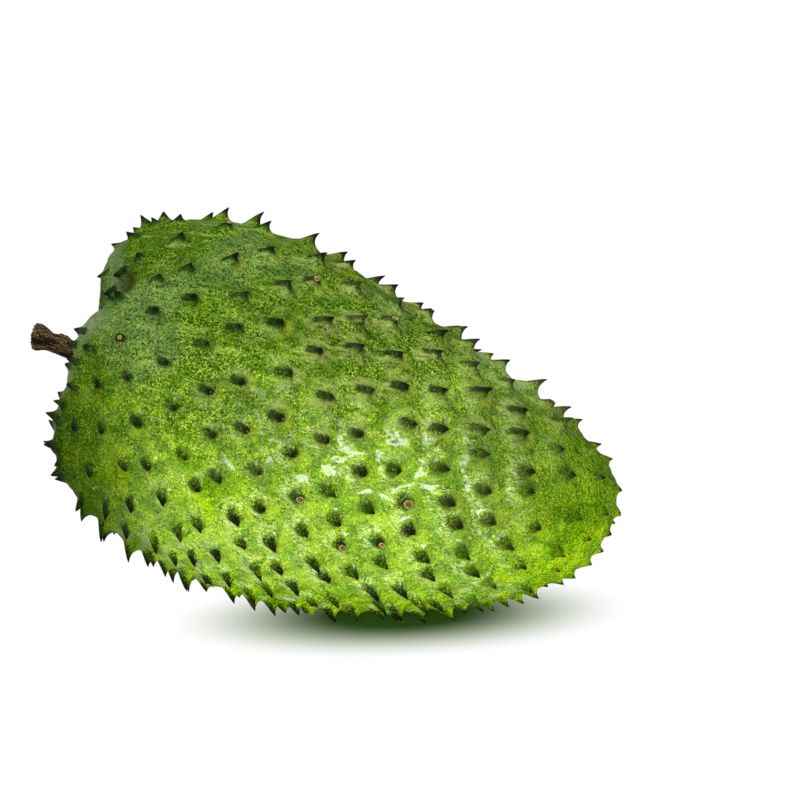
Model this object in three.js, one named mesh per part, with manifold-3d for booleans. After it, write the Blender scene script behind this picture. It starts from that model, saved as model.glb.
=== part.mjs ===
// Soursop: the whole fruit lying on its side, with its stem and the remains of its calyx.
// Units are millimetres and +Z is up. The long axis runs near +X, from the stem to the blossom end.
// The origin is the middle of the flat spot the fruit rests on.
import * as THREE from 'three';
import { ConvexGeometry } from 'three/addons/geometries/ConvexGeometry.js';
import { mergeVertices } from 'three/addons/utils/BufferGeometryUtils.js';
import Module from 'manifold-3d';

const wasm = await Module();
wasm.setup();
const { Manifold, Mesh } = wasm;

// ---- driving dimensions ----
const LENGTH = 240;          // stem pole to blossom pole, before the stem end is dimpled in
const HALF_WIDTH = 68.0;     // half height across the fruit, before it swells toward the stem
const DEPTH_RATIO = 0.93;    // the fruit is a little narrower front to back than it is high
const SWELL_TO_STEM = 0.337; // how much fatter the stem end is than the blossom end
const BLUNTNESS = 0.785;     // below 1 the ends are blunter than an ellipse
const SAG = 8.5;             // the belly hangs this far below the line through the two poles
const DIMPLE_DEPTH = 13.5;     // hollow round the foot of the stem
const DIMPLE_DROP = 8.5;      // and how far its floor sits below the long axis
const DIMPLE_WIDTH = 0.42;   // its reach, as a share of the radius of the unit sphere
const FURROW_DEPTH = 12;      // crease running from the dimple up over the shoulder
const FURROW_AROUND = 123;   // where it runs, degrees round the fruit
const FURROW_WIDTH = 12;     // degrees
const FURROW_ALONG = 25;     // middle of the furrow, degrees from the stem pole
const FURROW_REACH = 14;     // degrees
const TILT = 14;             // the stem end is propped up this many degrees by the fat belly
const PRESS = 1.3;           // flattening of the belly where it rests

const SPINES = 386;          // places on the spiral; those on the very ends carry none
const SPIRAL_START = 329;    // degrees
const CROWDING = 0.21;       // how much closer the spines stand on the belly than on the shoulder
const CROWD_ALONG = 134;     // direction of the crowding, degrees from the stem pole
const CROWD_AROUND = -123;   // and degrees round the fruit
const BARE_END = 7;          // no spines this close to the stem, degrees from its pole
const SPINE_HEIGHT = 6.6;    // above the valleys of the skin
const THORN_RADIUS = 3.4;    // the narrow upper part of a spine
const THORN_SHARE = 0.64;     // and how much of the height it makes
const TENT_RADIUS = 9.5;     // the wide swelling it rises from
const SPINE_HOOK = 0.5;     // sideways lean of the tip, as a share of the height

const STEM_RADIUS = 3.9;
const STEM_LENGTH = 31;      // from the dimple to the broken end
const STEM_RISE = 1;         // degrees it bends above the long axis
const FOOT_FLARE = 0.42;     // how much wider it is where it meets the fruit
const END_FLARE = 0.52;      // and at the broken end
const COLLAR_RADIUS = 7.8;   // calyx round the foot of the stem
const LOBE_LENGTH = 5.2;     // its three pointed lobes
const LOBE_AROUND = 215;     // where one of them points, degrees round the fruit
const GAP = 0.3;             // clearance between pieces that touch
const CLEAR = 0.5;           // clearance over the curved skin, whose flat triangles bridge the hollow

const rad = Math.PI / 180;

// ---- the body ----
// A direction is a unit vector. Angle "along" is measured from the stem pole (-X), angle "around" turns
// about the long axis, with 0 at the back (+Y), 90 on top and 180 at the front (-Y).
function direction(along, around) {
  return new THREE.Vector3(
    -Math.cos(along * rad),
    Math.sin(along * rad) * Math.cos(around * rad),
    Math.sin(along * rad) * Math.sin(around * rad));
}

// Gentle swellings and hollows that make the fruit lopsided: [along, around, reach, height].
const LUMPS = [
  [32, -145, 0.36, 5.0], [25, 150, 0.45, -4.0], [60, -90, 0.50, -1.0], [92, -90, 0.50, 3.0],
  [150, 90, 0.45, 3.5], [70, 80, 0.45, 3.5], [24, 80, 0.38, 7.0], [168, 180, 0.40, -2.0],
  [27, 148, 0.16, 1.5], [17, 80, 0.14, 4.5],
].map(([along, around, reach, height]) => ({ at: direction(along, around), reach, height }));

function skin(d) {
  const s = Math.sqrt(Math.max(d.y * d.y + d.z * d.z, 1e-12));
  const c = -d.x;
  const w = HALF_WIDTH * Math.pow(s, BLUNTNESS - 1) * (1 + SWELL_TO_STEM * c);
  const dimple = c > 0 ? Math.exp(-((s / DIMPLE_WIDTH) ** 2)) : 0;
  const p = new THREE.Vector3(0.5 * LENGTH * d.x + DIMPLE_DEPTH * dimple, w * d.y * DEPTH_RATIO,
    w * d.z - SAG * s * s - DIMPLE_DROP * dimple);
  let turn = Math.atan2(d.z, d.y) / rad - FURROW_AROUND;
  turn -= 360 * Math.round(turn / 360);
  const along = Math.acos(Math.min(1, Math.max(-1, c))) / rad;
  let push = -FURROW_DEPTH * (1 - Math.exp(-((along / 14) ** 2)))
    * Math.exp(-((turn / FURROW_WIDTH) ** 2) - (((along - FURROW_ALONG) / FURROW_REACH) ** 2));
  for (const lump of LUMPS) push += lump.height * Math.exp(-d.distanceToSquared(lump.at) / lump.reach ** 2);
  return p.addScaledVector(d, push);
}

// Tangents and outward normal of the body at a direction. "toBlossom" follows the fruit toward +X.
function frameAt(d) {
  const step = 1e-3;
  const aroundStep = new THREE.Vector3(0, -d.z, d.y).normalize();
  const alongStep = new THREE.Vector3().crossVectors(aroundStep, d).normalize();
  if (alongStep.x < 0) alongStep.negate();
  const slide = (t, k) => skin(d.clone().addScaledVector(t, k * step).normalize());
  const dAlong = slide(alongStep, 1).sub(slide(alongStep, -1)).divideScalar(2 * step);
  const dAround = slide(aroundStep, 1).sub(slide(aroundStep, -1)).divideScalar(2 * step);
  const normal = new THREE.Vector3().crossVectors(dAlong, dAround).normalize();
  if (normal.dot(d) < 0) normal.negate();
  return {
    alongStep, aroundStep, normal,
    alongScale: dAlong.length(), aroundScale: dAround.length(),
    toBlossom: dAlong.clone().addScaledVector(normal, -dAlong.dot(normal)).normalize(),
  };
}

// ---- repeatable scatter ----
const noise = (i, k) => {
  const v = Math.sin(i * 12.9898 + k * 78.233) * 43758.5453;
  return v - Math.floor(v);
};

// How much of the skin lies between the stem pole and each whole degree along.
const areaSoFar = [0];
for (let along = 0.5; along < 180; along++) {
  let belt = 0;
  for (let around = 0; around < 360; around += 15) {
    const f = frameAt(direction(along, around));
    belt += f.alongScale * f.aroundScale * Math.sin(along * rad);
  }
  areaSoFar.push(areaSoFar.at(-1) + belt);
}

// Golden-angle spiral that lies evenly over the skin, apart from the crowding toward one side.
function spiral(count, start, crowding) {
  const pull = direction(CROWD_ALONG, CROWD_AROUND);
  const list = [];
  for (let i = 0; i < count; i++) {
    const even = direction(Math.acos(1 - (2 * (i + 0.5)) / count) / rad, start - i * 137.50776);
    const c = even.dot(pull);
    const aside = even.clone().addScaledVector(pull, -c).normalize();
    const cc = (c + crowding) / (1 + crowding * c);
    const d = pull.clone().multiplyScalar(cc).addScaledVector(aside, Math.sqrt(Math.max(0, 1 - cc * cc)));
    const share = ((1 + d.x) / 2) * areaSoFar[180];
    let along = 0;
    while (along < 179 && areaSoFar[along + 1] < share) along++;
    along += Math.max(0, Math.min(1, (share - areaSoFar[along]) / (areaSoFar[along + 1] - areaSoFar[along])));
    list.push(direction(along, Math.atan2(d.z, d.y) / rad));
  }
  return list;
}

const smooth = (a, b, v) => {
  const t = Math.min(1, Math.max(0, (v - a) / (b - a)));
  return t * t * (3 - 2 * t);
};

// ---- placing: fruit frame to resting frame ----
const tilt = new THREE.Matrix4().makeRotationY(TILT * rad);
const rest = new THREE.Matrix4();       // filled in below, once the lowest point is known
const bodyOnly = new THREE.SphereGeometry(1, 96, 64);
{
  const v = new THREE.Vector3(), p = [], centre = new THREE.Vector3();
  const position = bodyOnly.attributes.position, index = bodyOnly.index;
  let lowest = Infinity, volume = 0;
  for (let i = 0; i < position.count; i++) {
    p.push(skin(v.fromBufferAttribute(position, i).normalize().clone()).applyMatrix4(tilt));
    lowest = Math.min(lowest, p[i].z);
  }
  for (let i = 0; i < index.count; i += 3) {
    const [a, b, c] = [0, 1, 2].map((k) => p[index.getX(i + k)]);
    const part = a.dot(new THREE.Vector3().crossVectors(b, c)) / 6;
    volume += part;
    centre.addScaledVector(a.clone().add(b).add(c), part / 4);
  }
  centre.divideScalar(volume);
  rest.makeTranslation(-centre.x, -centre.y, -lowest - PRESS).multiply(tilt);
}
const settle = (p) => p.applyMatrix4(rest);

// ---- the spiny skin ----
const points = [];      // directions on the unit sphere
const lifted = new Map(); // the same points where they end up
const key = (d) => `${d.x.toFixed(6)},${d.y.toFixed(6)},${d.z.toFixed(6)}`;
function add(d, p) {
  const k = key(d);
  if (lifted.has(k)) return;
  points.push(d);
  lifted.set(k, p);
}

const sites = [];
spiral(SPINES, SPIRAL_START, CROWDING).forEach((d, i) => {
  const f = frameAt(d);
  const wander = 2.6;
  d.addScaledVector(f.alongStep, ((noise(i, 1) - 0.5) * 2 * wander) / f.alongScale)
    .addScaledVector(f.aroundStep, ((noise(i, 2) - 0.5) * 2 * wander) / f.aroundScale).normalize();
  const along = Math.acos(Math.min(1, Math.max(-1, -d.x))) / rad;
  if (along < BARE_END || along > 176) return;
  sites.push({ i, d, along, ...frameAt(d), base: skin(d) });
});

// Height of a spine and its swelling, as a share of the whole, e millimetres toward its lean and a across.
// It is drawn out on the side away from the lean, as a ramp up to the hook.
function profile(e, a) {
  const r = Math.hypot(e * (e < 0 ? 0.75 : 1.15), a);
  return THORN_SHARE * Math.pow(Math.max(0, 1 - r / THORN_RADIUS), 1.5)
    + (1 - THORN_SHARE) * Math.pow(Math.max(0, 1 - r / TENT_RADIUS), 1.8);
}

sites.forEach((site) => {
  const { i, d, along, normal, toBlossom, base } = site;
  const above = settle(base.clone()).z;
  const broken = noise(i, 3) > 0.93 ? 0.5 : 1;
  const lean = -0.75 + 1.75 * smooth(24, 50, along); // hooks point to the stem near it, else to the blossom end
  const hook = SPINE_HOOK * lean;
  let height = SPINE_HEIGHT * (0.78 + 0.44 * noise(i, 4)) * (0.45 + 0.55 * smooth(18, 55, along)) * (1 - 0.5 * smooth(118, 168, along));
  const tipAt = (h) => base.clone().addScaledVector(normal, h).addScaledVector(toBlossom, hook * h);
  while (height > 0.3 && settle(tipAt(height)).z < 0.4) height *= 0.85;
  if (above < 1.0) height = 0;
  add(d, tipAt(height * broken));
  const count = 6, spin = noise(i, 6) * Math.PI, foot = 2.9;
  for (let k = 0; k < count; k++) {
    const a = spin + (k * 2 * Math.PI) / count;
    const e = d.clone().addScaledVector(site.alongStep, (foot * Math.cos(a)) / site.alongScale)
      .addScaledVector(site.aroundStep, (foot * Math.sin(a)) / site.aroundScale).normalize();
    const f = profile(foot * Math.cos(a) * Math.sign(lean), foot * Math.sin(a));
    add(e, skin(e).addScaledVector(normal, height * f).addScaledVector(toBlossom, height * hook * Math.pow(f, 2.2)));
  }
});

// valley points between the spines
spiral(1150, SPIRAL_START + 40, CROWDING).forEach((d) => {
  const p = skin(d);
  let near = Infinity;
  for (const site of sites) near = Math.min(near, p.distanceTo(site.base));
  if (near > 7.2 && d.x > -Math.cos(6 * rad)) add(d, p);
});
// the floor of the dimple, and both poles
for (const [along, count] of [[2, 8], [4, 12]]) {
  for (let k = 0; k < count; k++) { const d = direction(along, (k * 360) / count + along * 9); add(d, skin(d)); }
}
for (const d of [direction(0, 0), direction(180, 0)]) add(d, skin(d));

const net = mergeVertices(new ConvexGeometry(points).deleteAttribute('normal'), 1e-5);
{
  const position = net.attributes.position, v = new THREE.Vector3();
  for (let i = 0; i < position.count; i++) {
    v.fromBufferAttribute(position, i);
    let best = lifted.get(key(v));
    if (!best) {
      let gap = Infinity;
      points.forEach((q) => { const g = q.distanceToSquared(v); if (g < gap) { gap = g; best = lifted.get(key(q)); } });
    }
    const p = settle(best.clone());
    position.setXYZ(i, p.x, p.y, p.z);
  }
}

// ---- solids ----
function solid(geometry) {
  geometry.deleteAttribute('normal');
  geometry.deleteAttribute('uv');
  const g = mergeVertices(geometry, 1e-4);
  const made = new Manifold(new Mesh({
    numProp: 3,
    vertProperties: new Float32Array(g.attributes.position.array),
    triVerts: new Uint32Array(g.index.array),
  }));
  if (made.volume() <= 0) throw new Error('a piece is inside out');
  return made;
}
function solidFrom(vertices, faces) {
  const g = new THREE.BufferGeometry();
  g.setAttribute('position', new THREE.Float32BufferAttribute(vertices.flatMap((v) => [v.x, v.y, v.z]), 3));
  g.setIndex(faces);
  return solid(g);
}
function mesh(name, manifold, material) {
  const m = manifold.getMesh();
  const g = new THREE.BufferGeometry();
  g.setAttribute('position', new THREE.BufferAttribute(new Float32Array(m.vertProperties), 3));
  g.setIndex(new THREE.BufferAttribute(new Uint32Array(m.triVerts), 1));
  g.computeVertexNormals();
  const out = new THREE.Mesh(g, material);
  out.name = name;
  return out;
}

// the skin is cut level where it presses on the table
const table = new THREE.BoxGeometry(2 * LENGTH, LENGTH, 40).translate(0, 0, -20);
const fruit = solid(net).subtract(solid(table));

// ---- stem ----
// The stem and the calyx share a frame of their own at the bottom of the dimple: +Z leaves the fruit along
// its axis, +X is the upper side. The stem is a woody rod, rings swept along a line that lifts a little.
const stemPath = (t) => new THREE.Vector3(
  STEM_LENGTH * Math.tan(STEM_RISE * rad) * t * t, 0, CLEAR + t * STEM_LENGTH);
const stemRadius = (t) => STEM_RADIUS * (1 + FOOT_FLARE * Math.exp(-((t / 0.12) ** 2)) + END_FLARE * smooth(0.76, 1, t));

function rod() {
  const rings = 14, segments = 16, vertices = [], faces = [];
  for (let j = 0; j <= rings; j++) {
    const t = j / rings, r = stemRadius(t), middle = stemPath(t);
    for (let k = 0; k < segments; k++) {
      const a = (k * 2 * Math.PI) / segments;
      const ridge = 1 + 0.06 * Math.cos(3 * a + 2.2 * t) + 0.035 * Math.cos(5 * a + 1);
      const slant = j === rings ? 0.12 * r * Math.cos(a) : 0;  // the stem broke off at a slant
      vertices.push(new THREE.Vector3(r * ridge * Math.cos(a), r * ridge * Math.sin(a), slant).add(middle));
    }
  }
  const at = (j, k) => j * segments + (k % segments);
  for (let j = 0; j < rings; j++) for (let k = 0; k < segments; k++) {
    faces.push(at(j, k), at(j, k + 1), at(j + 1, k + 1), at(j, k), at(j + 1, k + 1), at(j + 1, k));
  }
  const foot = vertices.push(stemPath(0)) - 1;
  const end = vertices.push(stemPath(1).add(new THREE.Vector3(0, 0, -1.2))) - 1;
  for (let k = 0; k < segments; k++) {
    faces.push(foot, at(0, k + 1), at(0, k));
    faces.push(end, at(rings, k), at(rings, k + 1));
  }
  return solidFrom(vertices, faces);
}
// the scar of a shed bud, a knob on the upper side
const knobAt = stemPath(0.6);
const knob = new THREE.SphereGeometry(2.4, 10, 7).scale(1, 0.9, 1.25)
  .translate(knobAt.x + STEM_RADIUS * 0.8, knobAt.y, knobAt.z);
const stem = rod().add(solid(knob));

// ---- calyx ----
// What is left of the flower under the stem: a thin collar that follows the floor of the dimple and
// ends in three short pointed lobes.
function calyxSolid() {
  const segments = 60, rings = 6, vertices = [], faces = [];
  const inner = STEM_RADIUS * (1 + FOOT_FLARE) * 1.095 + GAP;
  const girth = HALF_WIDTH * (1 + SWELL_TO_STEM);
  const pole = skin(direction(0, 0));
  const floor = (r, around) => {
    const p = skin(direction(Math.pow(r / girth, 1 / BLUNTNESS) / rad, around)).sub(pole);
    return new THREE.Vector3(p.z, p.y, -p.x);
  };
  for (const face of [0, 1]) for (let j = 0; j <= rings; j++) for (let k = 0; k < segments; k++) {
    const around = 360 - (k * 360) / segments;
    const onLobe = Math.abs(((around - LOBE_AROUND + 360) % 120) - 60) / 60;  // 1 on the middle of a lobe
    const reach = COLLAR_RADIUS + LOBE_LENGTH * Math.pow(Math.max(0, (onLobe - 0.45) / 0.55), 1.3);
    const t = j / rings;
    const p = floor(inner + (reach - inner) * t, around);
    p.z += CLEAR + (0.9 * t * t * (reach - COLLAR_RADIUS)) / LOBE_LENGTH + face * (1.8 - 1.2 * t);
    vertices.push(p);
  }
  const at = (face, j, k) => (face * (rings + 1) + j) * segments + (k % segments);
  for (let k = 0; k < segments; k++) {
    for (let j = 0; j < rings; j++) {
      faces.push(at(1, j, k), at(1, j + 1, k), at(1, j + 1, k + 1), at(1, j, k), at(1, j + 1, k + 1), at(1, j, k + 1));
      faces.push(at(0, j, k), at(0, j + 1, k + 1), at(0, j + 1, k), at(0, j, k), at(0, j, k + 1), at(0, j + 1, k + 1));
    }
    faces.push(at(0, 0, k), at(1, 0, k), at(1, 0, k + 1), at(0, 0, k), at(1, 0, k + 1), at(0, 0, k + 1));
    faces.push(at(0, rings, k), at(1, rings, k + 1), at(1, rings, k), at(0, rings, k), at(0, rings, k + 1), at(1, rings, k + 1));
  }
  return solidFrom(vertices, faces);
}

// ---- materials ----
const skinMaterial = new THREE.MeshStandardMaterial({ color: 0x5f9a1e, roughness: 0.42, metalness: 0 });
const stemMaterial = new THREE.MeshStandardMaterial({ color: 0x4a3524, roughness: 0.85, metalness: 0 });
const calyxMaterial = new THREE.MeshStandardMaterial({ color: 0x33291c, roughness: 0.85, metalness: 0 });

const soursop = new THREE.Group();
soursop.name = 'soursop';
soursop.add(mesh('fruit', fruit, skinMaterial));

const stemEnd = new THREE.Group();
stemEnd.name = 'stem_end';
stemEnd.position.copy(settle(skin(direction(0, 0))));
stemEnd.rotation.y = (TILT - 90) * rad;
stemEnd.add(mesh('stem', stem, stemMaterial));
stemEnd.add(mesh('calyx', calyxSolid(), calyxMaterial));
soursop.add(stemEnd);
export default soursop;
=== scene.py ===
# %% [markdown]
# # A soursop
#
# A soursop is a heavy green fruit, shaped like a lopsided egg and covered in soft hooked spines. This lesson
# builds one lying on its belly: a spiny skin grown in one piece, a stub of woody stem, and the dried remains
# of the calyx round its foot. Everything is in metres and in the frame of the packed model, so nothing is
# moved into place at the end.

import math

import bpy
import numpy as np
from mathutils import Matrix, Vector, noise
from mathutils.geometry import delaunay_2d_cdt


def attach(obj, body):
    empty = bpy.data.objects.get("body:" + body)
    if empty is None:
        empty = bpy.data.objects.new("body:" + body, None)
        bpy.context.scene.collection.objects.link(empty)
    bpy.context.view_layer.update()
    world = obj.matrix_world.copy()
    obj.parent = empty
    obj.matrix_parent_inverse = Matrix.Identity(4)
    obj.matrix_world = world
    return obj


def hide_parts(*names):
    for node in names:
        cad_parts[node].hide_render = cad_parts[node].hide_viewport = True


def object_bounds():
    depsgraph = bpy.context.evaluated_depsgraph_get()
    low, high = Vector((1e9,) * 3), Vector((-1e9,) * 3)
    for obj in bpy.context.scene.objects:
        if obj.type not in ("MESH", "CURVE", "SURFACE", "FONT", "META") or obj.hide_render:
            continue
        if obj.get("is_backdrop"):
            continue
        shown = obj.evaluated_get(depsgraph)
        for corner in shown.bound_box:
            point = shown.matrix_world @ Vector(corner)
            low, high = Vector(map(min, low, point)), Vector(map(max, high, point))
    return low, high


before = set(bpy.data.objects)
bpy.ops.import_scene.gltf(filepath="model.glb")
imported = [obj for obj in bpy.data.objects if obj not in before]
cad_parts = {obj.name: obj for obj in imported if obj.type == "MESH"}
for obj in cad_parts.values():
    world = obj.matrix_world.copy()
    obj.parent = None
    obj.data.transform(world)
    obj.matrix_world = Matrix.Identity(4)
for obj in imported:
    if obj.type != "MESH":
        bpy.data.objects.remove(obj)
MM = 0.001


def plain_box(box):
    return [[float(v) for v in corner] for corner in box]


def print_size(what, box):
    print(what, "mm:", [round((high - low) / MM, 1) for low, high in zip(*box)])


packed_box = plain_box(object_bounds())
print(len(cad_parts), "packed nodes")
print_size("packed model,", packed_box)

# %% [markdown]
# ## The fruit's measurements
#
# The body is a fat egg: blunt at both ends, widest toward the stem, sagging a little under its own weight,
# with a dimple where the stem goes in and a furrow over the shoulder. The sizes of the body and the rule that
# places the spines are the solid model's, in millimetres, so the spines made here stand where its spines
# stand. The spines are a little taller and fuller here, and small claws round the stem are added.

# %% Sizes of the body
LENGTH, HALF_WIDTH, DEPTH_RATIO = 240.0, 68.0, 0.93
SWELL_TO_STEM, BLUNTNESS, SAG = 0.337, 0.785, 8.5
DIMPLE_DEPTH, DIMPLE_DROP, DIMPLE_WIDTH = 13.5, 8.5, 0.42
FURROW_DEPTH, FURROW_AROUND, FURROW_WIDTH = 12.0, 123.0, 12.0
FURROW_ALONG, FURROW_REACH, FURROW_START = 25.0, 14.0, 14.0
TILT = math.radians(14)
PRESS = 1.3
print("body", LENGTH, "mm long")

# %% Sizes of the spines
SPINES, SPIRAL_START, CROWDING = 386, 329.0, 0.21
CROWD_ALONG, CROWD_AROUND = 134.0, -123.0
BARE_STEM_END, BARE_BLOSSOM_END = 7.0, 176.0
GOLDEN_ANGLE = 137.50776
STRAY = 2.6
UNBROKEN_SHARE = 0.93
SPINE_HEIGHT, SPINE_HOOK = 7.2, 0.45
THORN_RADIUS, THORN_SHARE, TENT_RADIUS = 5.0, 0.68, 9.5
PUCKER_HEIGHT = 3.2
CLAWS, CLAWS_FROM, CLAWS_TO, CLAW_ROOM = 56, 12.0, 36.0, 7.0
print("places for", SPINES, "spines and", CLAWS, "claws")

# %% Sizes of the stem and the calyx
STEM_RADIUS, STEM_LENGTH, STEM_RISE = 3.9, 31.0, math.radians(1)
FOOT_FLARE, END_FLARE = 0.42, 0.52
COLLAR_RADIUS, LOBE_LENGTH, LOBE_AROUND = 7.8, 5.2, 215.0
print("stem", 2 * STEM_RADIUS, "mm thick,", STEM_LENGTH, "mm long")

# %% [markdown]
# ## The shape of the body
#
# One way to make an egg is to sculpt it; another is to write down where each direction from its middle meets
# the skin. The second is used here because spines, speckles and seams can then all be placed by direction.
# "Along" is the angle from the stem end, "around" the angle about the long axis (90 is the top).


# %% Directions
def direction(along, around):
    along, around = np.radians(along), np.radians(around)
    ring = np.sin(along)
    return np.stack([-np.cos(along) + 0 * around, ring * np.cos(around), ring * np.sin(around)], -1)


def along_of(d):
    return np.degrees(np.arccos(np.clip(-d[..., 0], -1, 1)))


def around_of(d):
    return np.degrees(np.arctan2(d[..., 2], d[..., 1]))


def unit(v):
    return v / np.linalg.norm(v, axis=-1, keepdims=True)


def smooth(a, b, v):
    t = np.clip((v - a) / (b - a), 0, 1)
    return t * t * (3 - 2 * t)


print("the top is", direction(90.0, 90.0).round(3))

# %% The skin that a direction meets
# gentle swellings and hollows: along, around, reach, height
LUMPS = [
    (32, -145, 0.36, 5.0), (25, 150, 0.45, -4.0), (60, -90, 0.50, -1.0), (92, -90, 0.50, 3.0),
    (150, 90, 0.45, 3.5), (70, 80, 0.45, 3.5), (24, 80, 0.38, 7.0), (168, 180, 0.40, -2.0),
    (27, 148, 0.16, 1.5), (17, 80, 0.14, 4.5)]


def in_furrow(d, widen=1.0, beside=0.0):
    """1 on the line of the furrow, or of a line beside it, falling to 0 away from it."""
    turn = around_of(d) - FURROW_AROUND - beside
    turn -= 360 * np.round(turn / 360)
    along = along_of(d)
    begun = 1 - np.exp(-((along / FURROW_START) ** 2))
    across = (turn / FURROW_WIDTH / widen) ** 2
    return begun * np.exp(-across - ((along - FURROW_ALONG) / FURROW_REACH) ** 2)


def skin(d):
    """The point of the skin, in mm, in each direction."""
    s = np.sqrt(np.maximum(d[..., 1] ** 2 + d[..., 2] ** 2, 1e-12))
    c = -d[..., 0]
    w = HALF_WIDTH * s ** (BLUNTNESS - 1) * (1 + SWELL_TO_STEM * c)
    dimple = np.where(c > 0, np.exp(-((s / DIMPLE_WIDTH) ** 2)), 0)
    p = np.stack([
        0.5 * LENGTH * d[..., 0] + DIMPLE_DEPTH * dimple,
        w * d[..., 1] * DEPTH_RATIO,
        w * d[..., 2] - SAG * s * s - DIMPLE_DROP * dimple], -1)
    push = -FURROW_DEPTH * in_furrow(d)
    for lump_along, lump_around, reach, height in LUMPS:
        off = ((d - direction(lump_along, lump_around)) ** 2).sum(-1)
        push = push + height * np.exp(-off / reach**2)
    return p + d * push[..., None]


def skin_frame(d, step=1e-3):
    """Unit steps along and around at each direction, how far the skin moves for each, its normal, and
    the way over the skin to the blossom end."""
    around = unit(np.stack([0 * d[..., 0], -d[..., 2], d[..., 1]], -1))
    along = unit(np.cross(around, d))
    along = along * np.sign(along[..., :1])
    d_along = (skin(unit(d + step * along)) - skin(unit(d - step * along))) / (2 * step)
    d_around = (skin(unit(d + step * around)) - skin(unit(d - step * around))) / (2 * step)
    normal = unit(np.cross(d_along, d_around))
    normal *= np.sign((normal * d).sum(-1, keepdims=True))
    to_blossom = unit(d_along - normal * (d_along * normal).sum(-1, keepdims=True))
    along_scale, around_scale = (np.linalg.norm(v, axis=-1) for v in (d_along, d_around))
    return along, around, along_scale, around_scale, normal, to_blossom


print("blossom end of the skin, mm:", skin(direction(np.array([180.0]), np.array([0.0])))[0].round(1))

# %% [markdown]
# ## Laying it down
#
# The fat belly props the stem end up by 14 degrees. The fruit is turned, its centre of mass is found from
# thin slices between a fine grid of skin points, and it is set down with that centre above the origin,
# pressed a little flat.

# %% Find the resting place
turned = np.array([
    [math.cos(TILT), 0, math.sin(TILT)],
    [0, 1, 0],
    [-math.sin(TILT), 0, math.cos(TILT)]])
rows, columns = np.meshgrid(np.linspace(1e-3, 179.999, 97), np.arange(0, 360, 2.5), indexing="ij")
shell = skin(direction(rows, columns)) @ turned.T
a, b = shell[:-1], shell[1:]
a2, b2 = np.roll(a, -1, 1), np.roll(b, -1, 1)
centre, volume = np.zeros(3), 0.0
for p, q, r in ((a, b2, b), (a, a2, b2)):
    slice_volume = (p * np.cross(q, r)).sum(-1) / 6
    volume += slice_volume.sum()
    centre += ((p + q + r) / 4 * slice_volume[..., None]).sum((0, 1))
centre /= volume
lowest = shell[..., 2].min()
lay_down = np.array([-centre[0], -centre[1], -lowest - PRESS])


def settle(p):
    return p @ turned.T + lay_down


print(f"body {abs(volume) / 1e6:.2f} litres, centre {centre[2] - lowest:.1f} mm above its lowest point")

# %% [markdown]
# ## Where the spines stand
#
# Spines, like the carpels they grew from, follow a spiral that turns by the golden angle from one to the
# next. The spiral is drawn together toward the belly, where the carpels stayed small, and each spine strays a
# little. A rule gives them all places without one being set by hand, and repeatable chance does the rest.


# %% A spiral over the skin
def scatter(i, k):
    """Chance that is the same on every run: one number from 0 to 1 for each i, in the k-th draw."""
    v = np.sin(i * 12.9898 + k * 78.233) * 43758.5453
    return v - np.floor(v)


# how much of the skin lies between the stem pole and each angle along
belts = np.arange(0.5, 180)
_, _, belt_along, belt_around, _, _ = skin_frame(direction(belts[:, None], np.arange(0, 360, 15.0)[None]))
belt_area = (belt_along * belt_around).mean(1) * np.sin(np.radians(belts))
area_so_far = np.concatenate([[0], np.cumsum(belt_area)]) / belt_area.sum()


def spiral(count, start, crowding):
    """Directions that lie evenly over the skin, apart from the crowding."""
    i = np.arange(count)
    d = direction(np.degrees(np.arccos(1 - 2 * (i + 0.5) / count)), start - i * GOLDEN_ANGLE)
    pull = direction(np.array(CROWD_ALONG), np.array(CROWD_AROUND))
    c = d @ pull
    aside = unit(d - c[:, None] * pull)
    c = (c + crowding) / (1 + crowding * c)
    d = unit(c[:, None] * pull + np.sqrt(np.maximum(0, 1 - c * c))[:, None] * aside)
    along = np.interp((1 + d[:, 0]) / 2, area_so_far, np.arange(181.0))
    return direction(along, around_of(d))


print("half of the skin lies within", int(np.searchsorted(area_so_far, 0.5)), "degrees of the stem end")

# %% The sites of the spines
number = np.arange(SPINES)
site = spiral(SPINES, SPIRAL_START, CROWDING)
along_step, around_step, along_scale, around_scale, _, _ = skin_frame(site)
stray_along = (scatter(number, 1) - 0.5) * 2 * STRAY / along_scale
stray_around = (scatter(number, 2) - 0.5) * 2 * STRAY / around_scale
site = unit(site + along_step * stray_along[:, None] + around_step * stray_around[:, None])
kept = (along_of(site) >= BARE_STEM_END) & (along_of(site) <= BARE_BLOSSOM_END)
number, site = number[kept], site[kept]

# small claws stand round the stem, wherever the spiral leaves them room
claw = np.arange(CLAWS)
claws_along = CLAWS_FROM + (CLAWS_TO - CLAWS_FROM) * np.sqrt((claw + 0.5) / CLAWS)
claw_site = direction(claws_along, claw * GOLDEN_ANGLE)
room = np.linalg.norm(skin(claw_site)[:, None] - skin(site)[None], axis=-1).min(1)
fits = room > CLAW_ROOM
number = np.concatenate([number, SPINES + claw[fits]])
site = np.concatenate([site, claw_site[fits]])
print(len(site), "sites,", int(fits.sum()), "of them for claws")

# %% [markdown]
# ## What each spine is like
#
# Near the stem the spines are short thin claws that point back at it. Over the rest they are fuller and point
# to the blossom end, where they get lower and thinner again. A few are broken off, and those under the belly
# are pressed short.

# %% The habit of each spine
TURN_OF_HOOKS, FULL_HEIGHT, FULL_WIDTH = (24, 50), (18, 55), (22, 46)
LOWER_AGAIN, THINNER_AGAIN = (118, 168), (120, 160)
SMALLEST = 0.58
CLEARANCE = 0.4

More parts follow.
